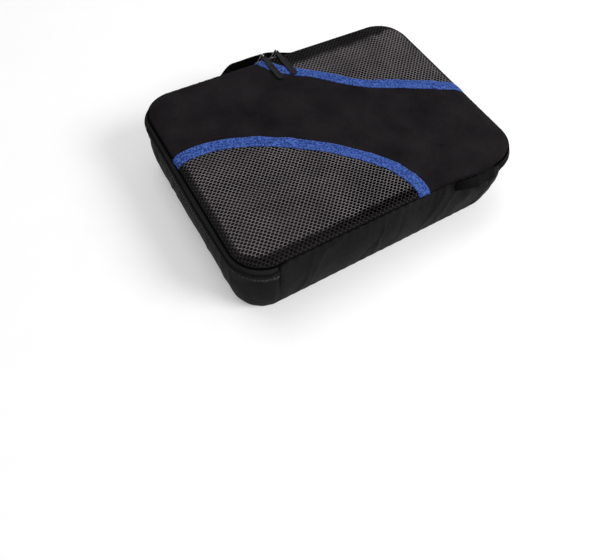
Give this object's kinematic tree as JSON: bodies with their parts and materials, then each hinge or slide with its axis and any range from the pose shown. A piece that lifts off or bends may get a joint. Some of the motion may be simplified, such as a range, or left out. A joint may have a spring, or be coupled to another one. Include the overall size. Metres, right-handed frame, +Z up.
{
  "type": "packing cube",
  "caption": "Soft zipped packing cube with a lid that opens about its front seam, net windows, ribbon bands, two zip pulls and a webbing handle.",
  "frame": {"origin": "centre of the underside", "axes": "+X along the long side, +Y from the hinge seam to the zipped back, +Z up"},
  "size_m": [0.2898, 0.2321, 0.073],
  "materials": {
    "nylon": "black plain-weave nylon with a faint sheen",
    "binding_tape": "black seam binding tape",
    "label": "black woven label, blank",
    "zip_tape": "black knitted zip tape",
    "zip_coil": "black nylon coil",
    "webbing": "black webbing",
    "net": "dark grey net",
    "ribbon": "blue grosgrain ribbon",
    "slider_metal": "black plated die casting",
    "ring_metal": "dark plated wire",
    "pull_enamel": "black satin enamel"
  },
  "bodies": {
    "base": {"bottom_panel": "nylon", "front_wall": "nylon", "gusset_wall": "nylon", "base_binding": "binding_tape", "seam_binding_left": "binding_tape", "seam_binding_right": "binding_tape", "side_tag": "label", "zip_tape_lower": "zip_tape", "zip_coil_lower": "zip_coil", "handle_root_left": "webbing", "handle_root_right": "webbing"},
    "lid": {"lid_centre_panel": "nylon", "lid_mesh_front": "net", "lid_mesh_rear": "net", "lid_ribbon_front": "ribbon", "lid_ribbon_rear": "ribbon", "lid_binding": "binding_tape", "zip_tape_upper": "zip_tape", "zip_coil_upper": "zip_coil"},
    "handle": {"handle_strap": "webbing"},
    "slider_left": {"slider_left": "slider_metal"},
    "slider_right": {"slider_right": "slider_metal"},
    "ring_left": {"pull_ring_left": "ring_metal"},
    "ring_right": {"pull_ring_right": "ring_metal"},
    "tab_left": {"pull_tab_left": "pull_enamel"},
    "tab_right": {"pull_tab_right": "pull_enamel"}
  },
  "joints": [
    {"name": "lid_hinge", "type": "hinge", "parent": "base", "child": "lid", "pos_m": [0, -0.103, 0.065], "axis": [1, 0, 0], "range_deg": [0, 180]},
    {"name": "handle_swing", "type": "hinge", "parent": "base", "child": "handle", "pos_m": [-0.005, 0.1083, 0.0415], "axis": [1, 0, 0], "range_deg": [-60, 0]},
    {"name": "slider_left_travel", "type": "slide", "parent": "lid", "child": "slider_left", "axis": [1, 0, 0], "range_m": [-0.088, 0]},
    {"name": "ring_left_swing", "type": "hinge", "parent": "slider_left", "child": "ring_left", "pos_m": [-0.0123, 0.1134, 0.0585], "axis": [-1, 0, 0], "range_deg": [0, 110]},
    {"name": "tab_left_swing", "type": "hinge", "parent": "ring_left", "child": "tab_left", "pos_m": [-0.0123, 0.1054, 0.071], "axis": [-1, 0, 0], "range_deg": [0, 100]},
    {"name": "slider_right_travel", "type": "slide", "parent": "lid", "child": "slider_right", "axis": [1, 0, 0], "range_m": [0, 0.088]},
    {"name": "ring_right_swing", "type": "hinge", "parent": "slider_right", "child": "ring_right", "pos_m": [0.0025, 0.1134, 0.0585], "axis": [-1, 0, 0], "range_deg": [0, 110]},
    {"name": "tab_right_swing", "type": "hinge", "parent": "ring_right", "child": "tab_right", "pos_m": [0.0025, 0.1054, 0.071], "axis": [-1, 0, 0], "range_deg": [0, 100]}
  ]
}
